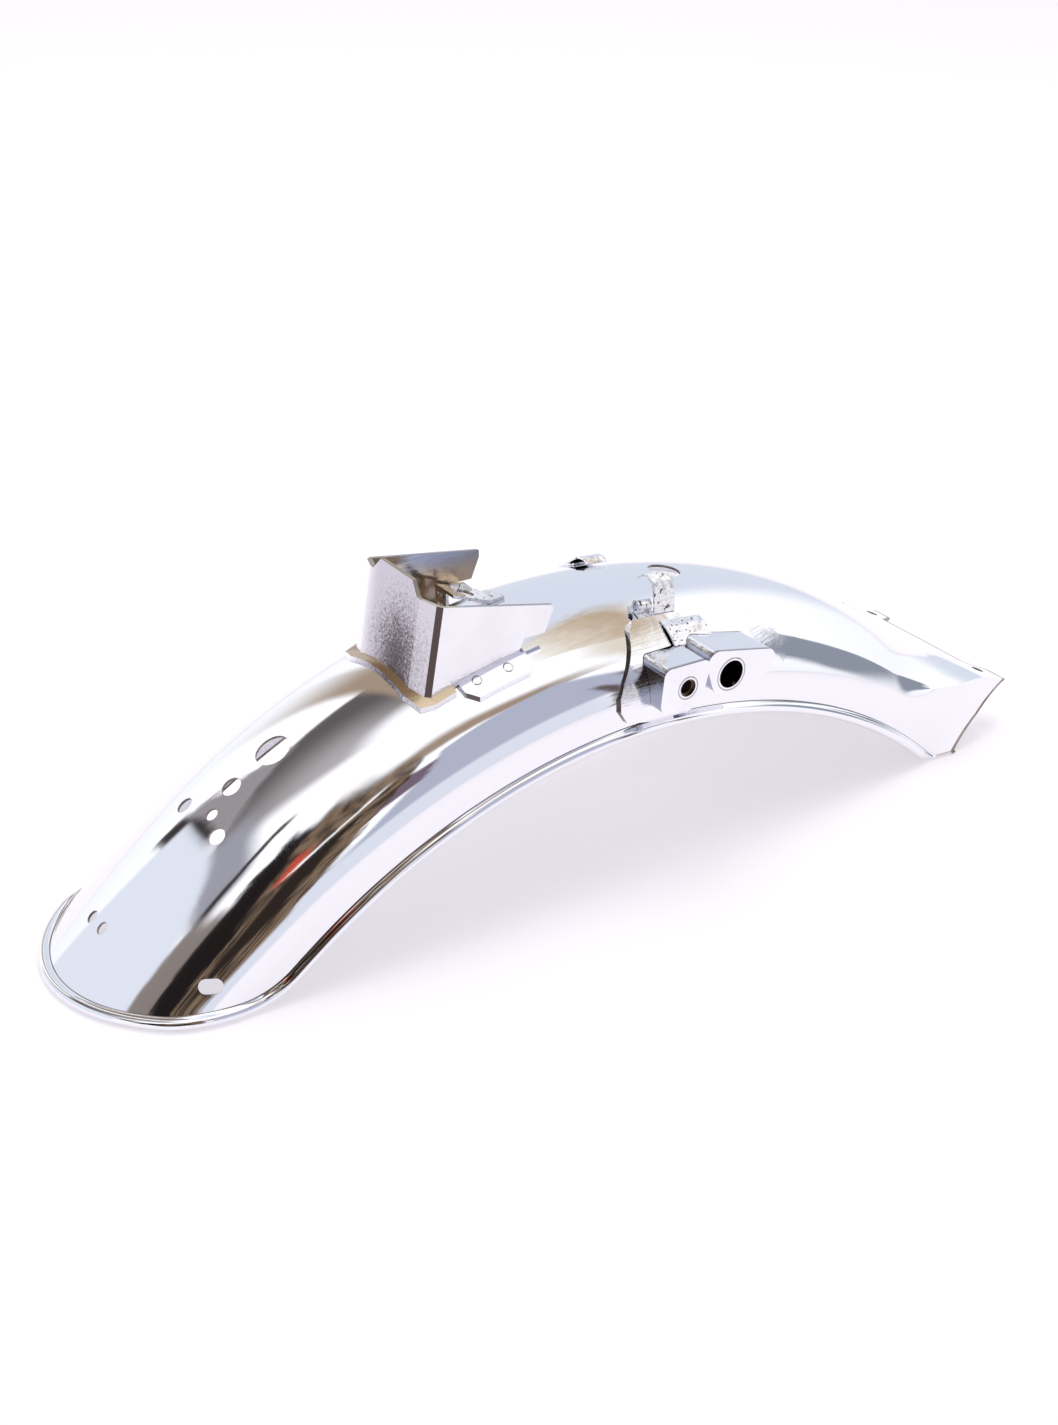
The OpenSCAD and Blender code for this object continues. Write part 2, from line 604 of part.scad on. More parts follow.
// The left clip is bent down nearly flat
module wire_clip_left() {
    color([0.82, 0.82, 0.85]) mirror([1, 0, 0]) wire_clip([[0, 1.05], [-3.5, 3.35], [-7, 5.95], [-11.5, 9.55],
        [-15.5, 11.75], [-19.5, 12.15], [-22.5, 10.75]], 0, 41);
}

// Strap clip on the flange of the side bracket, over the top of the front lobe
module strap_clip() {
    h = seat * 2 + side_t;
    color([0.82, 0.82, 0.85]) difference() {
        translate([0, 0, -arch_drop]) rotate([-6.6, 0, 0]) rotate([90, 0, 0])
            translate([0, 0, -strap_w / 2]) linear_extrude(strap_w) difference() {
                strip([for (p = [[53, 3.25], [51.5, 4.5], [48, 4.75], [43.5, 4.5], [38.5, 2.75]])
                    [p[0], skin_r(p[0]) + p[1]]], clip_t);
                translate([0, arch_r - crown_r]) circle(r = crown_r + h, $fn = 180);
            }
        hat(seat * 2, side_face_x + past);
    }
}

module placed() {
    translate([0, place_y, 0]) children();
}

placed() blade();
placed() tail_bracket();
placed() catch_plate();
placed() side_bracket();
placed() weld_nut();
placed() wire_clip_right();
placed() wire_clip_left();
placed() strap_clip();
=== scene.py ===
import json
import math

import bmesh
import bpy
from mathutils import Matrix, Vector

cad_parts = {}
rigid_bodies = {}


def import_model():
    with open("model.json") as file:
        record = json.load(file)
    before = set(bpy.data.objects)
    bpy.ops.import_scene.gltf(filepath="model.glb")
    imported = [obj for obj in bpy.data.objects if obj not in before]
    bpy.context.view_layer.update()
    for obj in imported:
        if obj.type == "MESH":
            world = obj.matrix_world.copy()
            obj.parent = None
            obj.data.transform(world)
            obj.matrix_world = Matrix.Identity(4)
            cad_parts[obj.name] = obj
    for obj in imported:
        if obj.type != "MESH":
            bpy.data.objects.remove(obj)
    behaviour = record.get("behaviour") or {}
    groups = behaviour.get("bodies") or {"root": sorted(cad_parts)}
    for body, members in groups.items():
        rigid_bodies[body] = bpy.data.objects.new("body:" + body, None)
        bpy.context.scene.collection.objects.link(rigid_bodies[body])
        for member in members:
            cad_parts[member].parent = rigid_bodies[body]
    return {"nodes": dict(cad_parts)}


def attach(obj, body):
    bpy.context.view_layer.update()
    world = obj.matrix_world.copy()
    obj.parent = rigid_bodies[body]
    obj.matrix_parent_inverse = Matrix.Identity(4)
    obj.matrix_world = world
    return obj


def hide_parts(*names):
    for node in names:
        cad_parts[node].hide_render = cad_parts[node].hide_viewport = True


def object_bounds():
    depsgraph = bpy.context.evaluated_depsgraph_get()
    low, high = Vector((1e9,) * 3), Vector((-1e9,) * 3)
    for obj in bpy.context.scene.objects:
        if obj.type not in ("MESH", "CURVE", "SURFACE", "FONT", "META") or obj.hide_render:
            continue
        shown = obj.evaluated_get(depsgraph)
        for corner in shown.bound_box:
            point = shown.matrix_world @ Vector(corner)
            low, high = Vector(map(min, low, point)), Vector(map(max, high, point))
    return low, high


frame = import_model()
cad_box = [list(v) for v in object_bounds()]
nodes = frame["nodes"]
MM = 0.001


# Shader values are written as plain arithmetic. This wraps a socket so that +, -, * and the like
# make the maths nodes.
class Val:
    def __init__(self, tree, socket):
        self.tree, self.socket = tree, socket

    def node(self, kind, out=0, props=None, **inputs):
        made = self.tree.nodes.new(kind)
        for key, value in (props or {}).items():
            setattr(made, key, value)
        for key, value in inputs.items():
            slot = made.inputs[int(key[1:])] if key[0] == "i" and key[1:].isdigit() else made.inputs[key]
            if isinstance(value, Val):
                self.tree.links.new(value.socket, slot)
            else:
                slot.default_value = value
        return Val(self.tree, made.outputs[out])

    def math(self, op, *others, clamp=False):
        values = {"i%d" % k: v for k, v in enumerate((self,) + others)}
        return self.node("ShaderNodeMath", props={"operation": op, "use_clamp": clamp}, **values)

    def __add__(self, o): return self.math("ADD", o)
    def __radd__(self, o): return self.math("ADD", o)
    def __sub__(self, o): return self.math("SUBTRACT", o)
    def __rsub__(self, o): return (self * -1.0).math("ADD", o)
    def __mul__(self, o): return self.math("MULTIPLY", o)
    def __rmul__(self, o): return self.math("MULTIPLY", o)
    def __truediv__(self, o): return self.math("DIVIDE", o)
    def __rtruediv__(self, o): return self.math("POWER", -1.0) * o
    def __neg__(self): return self * -1.0
    def __abs__(self): return self.math("ABSOLUTE")
    def lo(self, o): return self.math("MINIMUM", o)
    def hi(self, o): return self.math("MAXIMUM", o)

    # 0 below a, 1 above b, smooth between
    def step(self, a, b):
        return self.node("ShaderNodeMapRange", props={"interpolation_type": "SMOOTHSTEP"},
                         i0=self, i1=a, i2=b, i3=0.0, i4=1.0)

    # 1 inside a..b, with edges soft over s
    def band(self, a, b, s):
        return self.step(a - s, a + s) * (1.0 - self.step(b - s, b + s))

    # this value picks between two colours or numbers
    def pick(self, off, on):
        made = self.tree.nodes.new("ShaderNodeMix")
        made.data_type = "RGBA"
        self.tree.links.new(self.socket, made.inputs[0])
        for slot, value in ((made.inputs[6], off), (made.inputs[7], on)):
            if isinstance(value, Val):
                self.tree.links.new(value.socket, slot)
            else:
                slot.default_value = tuple(value) + (1.0,) if len(value) == 3 else value
        return Val(self.tree, made.outputs[2])


def noise(at, scale, detail=2.0, rough=0.5, stretch=(1, 1, 1), warp=0.0):
    placed = at.node("ShaderNodeVectorMath", props={"operation": "MULTIPLY"}, i0=at, i1=stretch)
    return at.node("ShaderNodeTexNoise", Vector=placed, Scale=scale, Detail=detail, Roughness=rough,
                   Distortion=warp)


def new_material(name):
    mat = bpy.data.materials.new(name)
    mat.use_nodes = True
    tree = mat.node_tree
    shader = tree.nodes["Principled BSDF"]
    at = Val(tree, tree.nodes.new("ShaderNodeTexCoord").outputs["Object"])
    split = tree.nodes.new("ShaderNodeSeparateXYZ")
    tree.links.new(at.socket, split.inputs[0])
    x, y, z = (Val(tree, s) * 1000.0 for s in split.outputs)
    return mat, shader, at, (x, y, z)


def feed(shader, name, value):
    if isinstance(value, Val):
        value.tree.links.new(value.socket, shader.inputs[name])
    else:
        shader.inputs[name].default_value = value


def bump(height, distance, strength=1.0):
    return height.node("ShaderNodeBump", Height=height, Distance=distance, Strength=strength)


def paint(obj, mat):
    obj.data.materials.clear()
    obj.data.materials.append(mat)


# Bright chrome of the blade: a near mirror with a faint waviness from pressing and polishing.
def bright_chrome():
    mat, shader, at, (x, y, z) = new_material("bright_chrome")
    feed(shader, "Metallic", 1.0)
    feed(shader, "Base Color", (0.86, 0.865, 0.90, 1.0))
    smear = noise(at, 9.0, 3.0, 0.55)
    feed(shader, "Roughness", smear.step(0.35, 0.8) * 0.05 + 0.035)
    wave = noise(at, 14.0, 1.0, 0.4) + noise(at, 60.0, 2.0, 0.5) * 0.06
    # the drawn corners at the front are wavier
    wave = wave + y.step(190.0, 225.0) * noise(at, 34.0, 2.0, 0.5) * 1.2
    feed(shader, "Normal", bump(wave, 0.0012, 0.35))
    return mat


# The sheet's cut edge, at the front, in the holes and at the rim: dull and brownish, darkened as painted
# shade; it also paints the shade lines on the skin.
def make_cut_edge_and_painted_shade():
    mat, shader, at, (x, y, z) = new_material("cut_edge_and_painted_shade")
    feed(shader, "Metallic", 1.0)
    cloud = noise(at, 60.0, 3.0, 0.6).step(0.35, 0.7)
    feed(shader, "Base Color", cloud.pick((0.16, 0.14, 0.13), (0.34, 0.30, 0.27)))
    feed(shader, "Roughness", 0.30)
    return mat


chrome = bright_chrome()
cut_edge_and_painted_shade = make_cut_edge_and_painted_shade()

# The blade: one pressed sheet with a crowned section, swept along an arch. A grid is laid over it and
# each of its points is moved to its place on the blade; the sheet gets its thickness, then its holes.
ARCH_R, DROP, TAIL_R, TAIL_A, SHEET = 330.0, 207.5, 632.0, -36.5, 1.2
CROWN_R, CROWN_A, SHOULDER_R, WALL_A, WALL = 81.0, 37.4, 27.3, 86.0, 6.8
EDGE_A, BEAD_H, BEAD_OUT, BEAD_R, PLACE_Y = 55.0, 6.0, 3.2, 2.4, 3.4


def sin(a):
    return math.sin(math.radians(a))


def cos(a):
    return math.cos(math.radians(a))


U_CROWN = CROWN_R * math.radians(CROWN_A)
U_EDGE = U_CROWN + SHOULDER_R * math.radians(EDGE_A - CROWN_A)
U_SHOULDER = U_CROWN + SHOULDER_R * math.radians(WALL_A - CROWN_A)
U_WALL = U_SHOULDER + WALL
SX = (CROWN_R - SHOULDER_R) * sin(CROWN_A)
SD = CROWN_R - (CROWN_R - SHOULDER_R) * cos(CROWN_A)
TAIL_CY = (ARCH_R - TAIL_R) * sin(TAIL_A)
TAIL_CZ = -DROP + (ARCH_R - TAIL_R) * cos(TAIL_A)


def ease(v):
    c = min(1.0, max(0.0, v))
    return c * c * (3 - 2 * c)


def mix(p, q, w):
    return p + (q - p) * w


def slope(u):
    if u < U_CROWN:
        return math.degrees(u / CROWN_R)
    return min(WALL_A, CROWN_A + math.degrees((u - U_CROWN) / SHOULDER_R))


def across(u):
    if u < U_CROWN:
        return CROWN_R * sin(slope(u))
    return SX + SHOULDER_R * sin(slope(u)) + max(0.0, u - U_SHOULDER) * cos(WALL_A)


def below(u):
    if u < U_CROWN:
        return CROWN_R * (1 - cos(slope(u)))
    return SD - SHOULDER_R * cos(slope(u)) + max(0.0, u - U_SHOULDER) * sin(WALL_A)


def on_arch(x, drop, a):
    if a >= TAIL_A:
        return Vector((x, (ARCH_R - drop) * sin(a), -DROP + (ARCH_R - drop) * cos(a)))
    return Vector((x, TAIL_CY + (TAIL_R - drop) * sin(a), TAIL_CZ + (TAIL_R - drop) * cos(a)))


# Front end: the crown flattens to the ear plate, whose edges turn down sharply into the walls.
PLATE_SLOPE, PLATE_D, FLAT_A, FLAT_B = 22.6, 313.0, 33.5, 45.0
MID_A, EAR_A, WALL_FRONT_A, EAR_W, PLATE_W, FLARE, BEAD_END = 46.1, 48.2, 45.2, 49.5, 58.0, 3.0, 42.5


def flat(a):
    return ease((a - FLAT_A) / (FLAT_B - FLAT_A))


def lift(u, a):
    d = PLATE_D / cos(a - PLATE_SLOPE) - ARCH_R + below(u)
    return flat(a) * (d + math.sqrt(d * d + 16)) / 2


def bead_size(a):
    return 1 - 0.75 * ease((a - BEAD_END + 1.5) / 2.5)


def rim_drop(a):
    return min(below(U_WALL), ARCH_R - (DROP + 0.6) / cos(a) - BEAD_H * bead_size(a))


def front_point(u, a):
    edge_x = mix(PLATE_W, EAR_W, min(1.0, max(0.0, (a - 41) / (EAR_A - 41))))
    if u <= U_EDGE:
        return on_arch(mix(across(u), edge_x * u / U_EDGE, flat(a)), below(u) - lift(u, a), a)
    corner_x = mix(across(U_EDGE), edge_x, flat(a))
    corner_drop = below(U_EDGE) - lift(U_EDGE, a)
    q = (u - U_EDGE) / (U_WALL - U_EDGE)
    sx = (across(u) - across(U_EDGE)) / (across(U_WALL) - across(U_EDGE))
    sd = (below(u) - below(U_EDGE)) / (below(U_WALL) - below(U_EDGE))
    x = mix(corner_x, across(U_WALL), mix(sx, q, flat(a))) + FLARE * ease((a - 41) / 5) * min(1.0, 2 * q)
    return on_arch(x, mix(corner_drop, rim_drop(a), mix(sd, q, flat(a))), a)


def front_edge(u):
    if u <= U_EDGE:
        return mix(MID_A, EAR_A, ease((u / U_EDGE * EAR_W - 27) / 12))
    return WALL_FRONT_A + (EAR_A - WALL_FRONT_A) * (1 - (u - U_EDGE) / (U_WALL - U_EDGE)) ** 2.6


def skin(u, a):
    return front_point(u, a) if a > FLAT_A else on_arch(across(u), below(u), a)


# Tail: the rim lies level on the floor and comes up to the arch in a round corner.
def rim_z(u):
    n = cos(slope(u)) * cos(42)
    return BEAD_H * math.sqrt(1 - n * n) - (BEAD_OUT - BEAD_R) * n + 0.15


def length_at(drop):
    if drop <= below(U_CROWN):
        return CROWN_R * math.acos(1 - drop / CROWN_R)
    if drop <= below(U_SHOULDER):
        return U_CROWN + SHOULDER_R * (math.acos((SD - drop) / SHOULDER_R) - math.radians(CROWN_A))
    return U_SHOULDER + (drop - below(U_SHOULDER)) / sin(WALL_A)


RIM_CORNER = 40.0
reach = TAIL_R - below(U_WALL) + RIM_CORNER
CORNER_Z = rim_z(U_WALL) + RIM_CORNER
CORNER_Y = TAIL_CY - math.sqrt(reach ** 2 - (CORNER_Z - TAIL_CZ) ** 2)
CORNER_A = -math.degrees(math.acos((CORNER_Z - TAIL_CZ) / reach))


def rim_corner(s):
    b = -CORNER_A * (1 - s)
    y, z = CORNER_Y + RIM_CORNER * sin(b) - TAIL_CY, CORNER_Z - RIM_CORNER * cos(b) - TAIL_CZ
    return length_at(TAIL_R - math.hypot(y, z)), -math.degrees(math.atan2(-y, z))


LEVEL_U = rim_corner(1)[0]


def rim_level(u):
    z = rim_z(u) + (rim_z(U_WALL) - rim_z(LEVEL_U)) * u / LEVEL_U
    return u, -math.degrees(math.acos((z - TAIL_CZ) / (TAIL_R - below(u))))


FRONT, ARCH, CORNER, TAIL, HALF, BEAD = 46, 150, 14, 50, 44, 12
COLS = FRONT + ARCH + CORNER + TAIL
row_u = [U_EDGE * k / 32 for k in range(33)] + [mix(U_EDGE, U_WALL, k / 12) for k in range(1, 13)]


def blade_point(i, k):
    u = row_u[k]
    if i < FRONT:
        return skin(u, mix(front_edge(u), FLAT_A - 4, i / FRONT))
    if i <= FRONT + ARCH:
        return skin(u, mix(FLAT_A - 4, CORNER_A, (i - FRONT) / ARCH))
    j = i - FRONT - ARCH
    rim = rim_corner(j / CORNER) if j <= CORNER else rim_level(LEVEL_U * cos(90 * (j - CORNER) / TAIL))
    mid, f = mix(CORNER_A, CORNER_A - 2, ease(j / (CORNER + TAIL))), u / U_WALL
    return skin(rim[0] * f, mix(mid, rim[1], f))


def bead_steps(size):
    steps = [(0.25, 0.3), (0.5, 0.6)]
    steps += [(BEAD_OUT - BEAD_R + BEAD_R * cos(t), BEAD_H - BEAD_R + BEAD_R * sin(t))
              for t in (-66, -46, -26, -6, 14, 34, 54, 72, 90, 105)][:BEAD - 2]
    return [(n * size, b * size) for n, b in steps]


def blade_column(i):
    points = [blade_point(i, k) for k in range(HALF + 1)]
    rim, inner = points[HALF], points[HALF - 1]
    along = Vector((-1, 0, 0)) if i == COLS else (
        blade_point(i + 1, HALF) - blade_point(max(0, i - 1), HALF)).normalized()
    out = along.cross(rim - inner).normalized()
    down = out.cross(along).normalized()
    a = mix(front_edge(U_WALL), FLAT_A - 4, i / FRONT) if i < FRONT else 0
    size = bead_size(a) if i < FRONT else 1.0
    return points + [rim + out * n + down * b for n, b in bead_steps(size)]


bm = bmesh.new()
wide = HALF + BEAD
bmesh.ops.create_grid(bm, x_segments=2 * wide, y_segments=COLS, size=1.0)
bm.verts.ensure_lookup_table()
columns = [blade_column(i) for i in range(COLS + 1)]
front_edge_shade, bead_crease_shade = set(), set()
for v in bm.verts:
    k = round((v.co.x + 1) * wide) - wide
    i = round((v.co.y + 1) / 2 * COLS)
    if i == COLS:
        front_edge_shade.add(v)
    if abs(k) in (HALF, HALF + 1):
        bead_crease_shade.add(v)
    p = columns[COLS - i][abs(k)]
    v.co = Vector((math.copysign(1, k) * p.x if k else 0.0, p.y + PLACE_Y, p.z)) * MM
# painted shade lines: along the front edge, and in the corner between the wall and its bead
for face in bm.faces:
    if front_edge_shade.intersection(face.verts) or bead_crease_shade.issuperset(face.verts):
        face.material_index = 1
bmesh.ops.remove_doubles(bm, verts=bm.verts, dist=2e-6)
bmesh.ops.recalc_face_normals(bm, faces=bm.faces)
top = max(bm.faces, key=lambda f: f.calc_center_median().z)
if top.normal.z < 0:
    bmesh.ops.reverse_faces(bm, faces=bm.faces)
mesh = bpy.data.meshes.new("blade")
bm.to_mesh(mesh)
bm.free()
blade = bpy.data.objects.new("blade_sheet", mesh)
bpy.context.collection.objects.link(blade)
thick = blade.modifiers.new("sheet", "SOLIDIFY")
thick.thickness, thick.offset = SHEET * MM, -1.0
# the rim takes the dull cut edge, darkened as painted shade
thick.material_offset_rim = 1
mesh.materials.append(chrome)
mesh.materials.append(cut_edge_and_painted_shade)


# Punches for the blade's holes: a round or slotted prism laid on the skin.
def punch(place, tilt, d, length=0.0):
    made = bmesh.new()
    bmesh.ops.create_cone(made, cap_ends=True, segments=72, radius1=d / 2 * MM, radius2=d / 2 * MM,
                          depth=24 * MM)
    for v in made.verts:
        v.co.y += math.copysign((length - d) / 2 * MM, v.co.y) if length else 0.0
    bmesh.ops.transform(made, verts=made.verts, matrix=Matrix.Translation(
        (Vector(place) + Vector((0, PLACE_Y, 0))) * MM) @ tilt)
    return made


def tilted(a, th=0.0):
    return Matrix.Rotation(math.radians(-a), 4, "X") @ Matrix.Rotation(math.radians(th), 4, "Y")


def crown_punch(x, a, d):
    th = math.degrees(math.asin(x / CROWN_R))
    p = on_arch(x, CROWN_R * (1 - cos(th)), a)
    return punch(p, tilted(a, th), d)


# cable hole, middle hole, small locating holes, hole in the middle of the arch
punches = [crown_punch(0, -28.1, 16.5), crown_punch(0, -32.2, 9.5), crown_punch(4, -34.7, 6.0),
           crown_punch(-10.6, -41.6, 6.0), crown_punch(0.4, -41.6, 6.0), crown_punch(0, 10.2, 16.0)]
# on each side: lamp hole, ear hole, slot for the flap
for s in (-1, 1):
    punches.append(crown_punch(s * 15, -35.6, 8.0))
    ear_z = PLATE_D / cos(PLATE_SLOPE) - DROP - 246.1 * math.tan(math.radians(PLATE_SLOPE))
    punches.append(punch((s * 40.5, 246.1, ear_z), tilted(PLATE_SLOPE), 6.5))
    turn = Matrix.Rotation(math.radians(s * -28), 4, "Z") @ Matrix.Rotation(math.radians(s * 62), 4, "Y")
    punches.append(punch((s * 53.6, -216.3, 15.1), turn, 6.5, 10.5))
for n, made in enumerate(punches):
    data = bpy.data.meshes.new("punch")
    made.to_mesh(data)
    made.free()
    data.materials.append(cut_edge_and_painted_shade)
    tool = bpy.data.objects.new("punch_%d" % n, data)
    bpy.context.collection.objects.link(tool)
    cut = blade.modifiers.new("hole", "BOOLEAN")
    cut.object, cut.operation, cut.solver = tool, "DIFFERENCE", "EXACT"
    cut.material_mode = "TRANSFER"
done = bpy.data.meshes.new_from_object(blade.evaluated_get(bpy.context.evaluated_depsgraph_get()))
blade.modifiers.clear()
blade.data = done
for tool in [o for o in bpy.data.objects if o.name.startswith("punch_")]:
    bpy.data.objects.remove(tool)
for poly in done.polygons:
    poly.use_smooth = True
done.set_sharp_from_angle(angle=math.radians(38))
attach(blade, "root")
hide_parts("blade")


# Which way a face looks, as three values from -1 to 1.
def facing(tree):
    split = tree.nodes.new("ShaderNodeSeparateXYZ")
    tree.links.new(tree.nodes.new("ShaderNodeTexCoord").outputs["Normal"], split.inputs[0])
    return [Val(tree, s) for s in split.outputs]


# The welded pieces: sheet steel folded or pressed in a die and plated in the same bath as the blade.
# The chrome over them is softer than the blade's, and the cut edges of the sheet are dull and brown.
def bracket_chrome(name, base, rough, scratch, dents=0.0):
    mat, shader, at, (x, y, z) = new_material(name)
    face = facing(mat.node_tree)
    cloud = noise(at, 30.0, 4.0, 0.6)
    lines = noise(at, 40.0, 3.0, 0.7, stretch=(1, 1, 30))
    colour = cloud.step(0.3, 0.75).pick(tuple(0.93 * c for c in base), base)
    feed(shader, "Metallic", 1.0)
    feed(shader, "Base Color", colour)
    feed(shader, "Roughness", cloud * 0.06 + lines * scratch + rough)
    height = lines * 0.3 + cloud
    if dents:
        height = height + noise(at, 110.0, 2.0, 0.5) * dents
    return mat, shader, at, (x, y, z), face, colour, height


# Tail bracket: the flat plate is satin, darker in painted shade except at its -x end, and dark and grainy
# low in its middle;
# painted shade shows as dark lines on the sharp folds beside it, and the insides carry painted reflections
# and shade.
def tail_bracket_chrome():
    mat, shader, at, (x, y, z), (nx, ny, nz), colour, height = bracket_chrome(
        "satin_chrome", (0.86, 0.86, 0.89), 0.13, 0.08)
    plate = ny.step(-0.85, -0.97)
    grain = noise(at, 900.0, 2.0, 0.7)
    # a dark grainy patch low in the middle of the plate
    far = (((x - 8.0) / 19.0).math("POWER", 2.0) + ((z - 116.0) / 27.0).math("POWER", 2.0)).math("SQRT")
    low_dark_patch = (far + (grain - 0.5) * 2.2).step(1.35, 0.1)
    # painted shade: the plate is darker except at its -x end
    shade = x.step(-26.0, -12.0).pick((0.92, 0.92, 0.94), (0.58, 0.56, 0.62))
    shade = low_dark_patch.pick(shade, (0.10, 0.08, 0.09))
    colour = plate.pick(colour, shade)
    # painted shade: dark lines on the angled faces of the sharp folds
    fold = nx.band(0.55, 0.93, 0.04) * ny.step(-0.2, -0.35)
    line = (nx + (z - 125.0) * 0.002).band(0.62, 0.90, 0.06)
    colour = (fold * line).pick(colour, (0.09, 0.07, 0.065))
    # inside of the left wing: painted reflections and shade, dark brown, a painted highlight band, then
    # blue over khaki
    inside = nx.step(0.6, 0.8) * x.step(-20.0, -24.0)
    low = z.step(128.0, 141.0).pick((0.62, 0.49, 0.33), (0.42, 0.45, 0.55))
    near = (z - 138.5).band(-2.6, 2.0, 1.4).pick((0.24, 0.18, 0.12), (0.95, 0.84, 0.68))
    colour = inside.pick(colour, y.step(-62.0, -72.0).pick(low, near))
    # painted shade: the plate's inner face, turned forwards, is dark brown above z 105
    colour = (ny.step(0.8, 0.95) * z.step(105, 110)).pick(colour, (0.34, 0.27, 0.19))
    # cut edges on top, and the lip along the crown with a painted khaki reflection, darker towards -x
    cut = nz.step(0.5, 0.7) * z.step(126.0, 130.0)
    colour = cut.pick(colour, (0.30, 0.23, 0.15))
    lip = nz.step(0.5, 0.7) * y.step(-72.0, -74.0)
    colour = lip.pick(colour, x.step(8.0, 22.0).pick((0.42, 0.34, 0.25), (0.60, 0.48, 0.34)))
    # feet: shaded strip along the wing, and two weld spots on each
    foot = nz.step(0.5, 0.7) * y.step(-77.0, -76.0) * abs(x).step(29.0, 29.6)
    shade = (abs(x) + (y + 64.0) * 0.02).step(32.6, 33.4).pick((0.50, 0.50, 0.60), (0.98, 0.96, 0.97))
    colour = foot.pick(colour, shade)
    for spot_x, spot_y in ((33.9, -68.5), (35.1, -52.9)):
        ring = ((abs(x) - spot_x).math("POWER", 2.0) + (y - spot_y).math("POWER", 2.0)).math("SQRT")
        colour = (foot * ring.band(1.9, 2.4, 0.2)).pick(colour, (0.55, 0.50, 0.48))
        height = height + foot * ring.step(2.4, 1.6) * 2.0
    feed(shader, "Base Color", colour)
    feed(shader, "Normal", bump(height + plate * low_dark_patch * grain * 1.5, 0.0006, 0.3))
    feed(shader, "Roughness", noise(at, 30.0, 4.0, 0.6) * 0.06 + plate * 0.12 + 0.08)
    return mat


# Side bracket: its pressed lobes are bright, with worn dents round the weld; painted shade outlines the
# flange where it meets the blade and darkens the rearward faces, and each hole has a raised ring round it,
# edged in painted shade.
def side_bracket_chrome():
    mat, shader, at, (x, y, z), (nx, ny, nz), colour, height = bracket_chrome(
        "pressed_chrome", (0.90, 0.90, 0.94), 0.06, 0.03, dents=0.5)
    # how far a point stands out from the blade's shoulder
    arm, drop = y - PLACE_Y, z + DROP
    out = (arm * arm + drop * drop).math("SQRT")
    shoulder_x, shoulder_out = 32.6, 292.0
    rise = ((x - shoulder_x).math("POWER", 2.0) + (out - shoulder_out).math("POWER", 2.0)).math("SQRT")
    rise = rise - SHOULDER_R
    # painted shade: a dark outline where the flange meets the blade's shoulder
    edge = rise.step(2.3, 1.9) * abs(nx).step(0.30, 0.12)
    # painted shade: faces turned towards the rear are darkened, bluish grey
    colour = (ny.step(-0.55, -0.85) * (1.0 - edge)).pick(colour, (0.36, 0.38, 0.47))
    # painted shade: a dark line on the top faces just behind the front face
    colour = (nz.step(0.2, 0.5) * nx.step(0.3, 0.1) * x.step(66.6, 68.2)).pick(colour, (0.30, 0.29, 0.31))
    colour = edge.pick(colour, (0.10, 0.08, 0.07))
    front, hole_z = x.step(68.7, 68.9), 95.3
    # painted shade: a dark line on the flank of each hole's raised ring; the hole's wall is dark brown
    for hole_y, hole_r in ((22.6, 4.2), (48.0, 6.75)):
        r = ((y - hole_y).math("POWER", 2.0) + (z - hole_z).math("POWER", 2.0)).math("SQRT")
        colour = (front * r.band(hole_r + 1.0, hole_r + 1.5, 0.2)).pick(colour, (0.30, 0.29, 0.31))
        colour = (r.step(hole_r + 0.2, hole_r) * x.step(60.0, 62.0)).pick(colour, (0.16, 0.13, 0.10))
        height = height + front * r.step(hole_r + 1.6, hole_r + 0.9) * 3.0
    feed(shader, "Base Color", colour)
    feed(shader, "Normal", bump(height, 0.0007, 0.45))
    return mat


def clip_chrome(name, base, rough, scratch, dents):
    mat, shader, at, (x, y, z), face, colour, height = bracket_chrome(name, base, rough, scratch, dents)
    spots = noise(at, 420.0, 2.0, 0.6).step(0.60, 0.66)
    feed(shader, "Base Color", spots.pick(colour, (0.12, 0.10, 0.09)))
    feed(shader, "Normal", bump(height, 0.0012, 0.6))
    return mat


satin = tail_bracket_chrome()
pressed = side_bracket_chrome()
clips = clip_chrome("clip_chrome", (0.88, 0.88, 0.91), 0.08, 0.05, 0.8)
plain = clip_chrome("catch_chrome", (0.86, 0.85, 0.86), 0.10, 0.06, 0.3)
dull = clip_chrome("dull_plate", (0.42, 0.36, 0.28), 0.28, 0.10, 0.2)
for name, mat in (("tail_bracket", satin), ("catch_plate", plain), ("side_bracket", pressed),
                  ("weld_nut", dull), ("wire_clip_right", clips), ("wire_clip_left", clips),
                  ("strap_clip", clips)):
    paint(nodes[name], mat)

# Floor: a wide white sheet under the part, lit so evenly that the shadow stays faint.
bm = bmesh.new()
bmesh.ops.create_grid(bm, x_segments=1, y_segments=1, size=6.0)
data = bpy.data.meshes.new("floor")
bm.to_mesh(data)
bm.free()
floor = bpy.data.objects.new("floor", data)
bpy.context.collection.objects.link(floor)
floor.location.z = cad_box[0][2] - 0.0002
floor_mat = bpy.data.materials.new("floor")
floor_mat.use_nodes = True
floor_shader = floor_mat.node_tree.nodes["Principled BSDF"]
feed(floor_shader, "Base Color", (0.72, 0.69, 0.71, 1.0))
feed(floor_shader, "Roughness", 1.0)
feed(floor_shader, "Specular IOR Level", 0.0)
feed(floor_shader, "Emission Color", (0.98, 0.96, 1.0, 1.0))
feed(floor_shader, "Emission Strength", 0.42)
paint(floor, floor_mat)

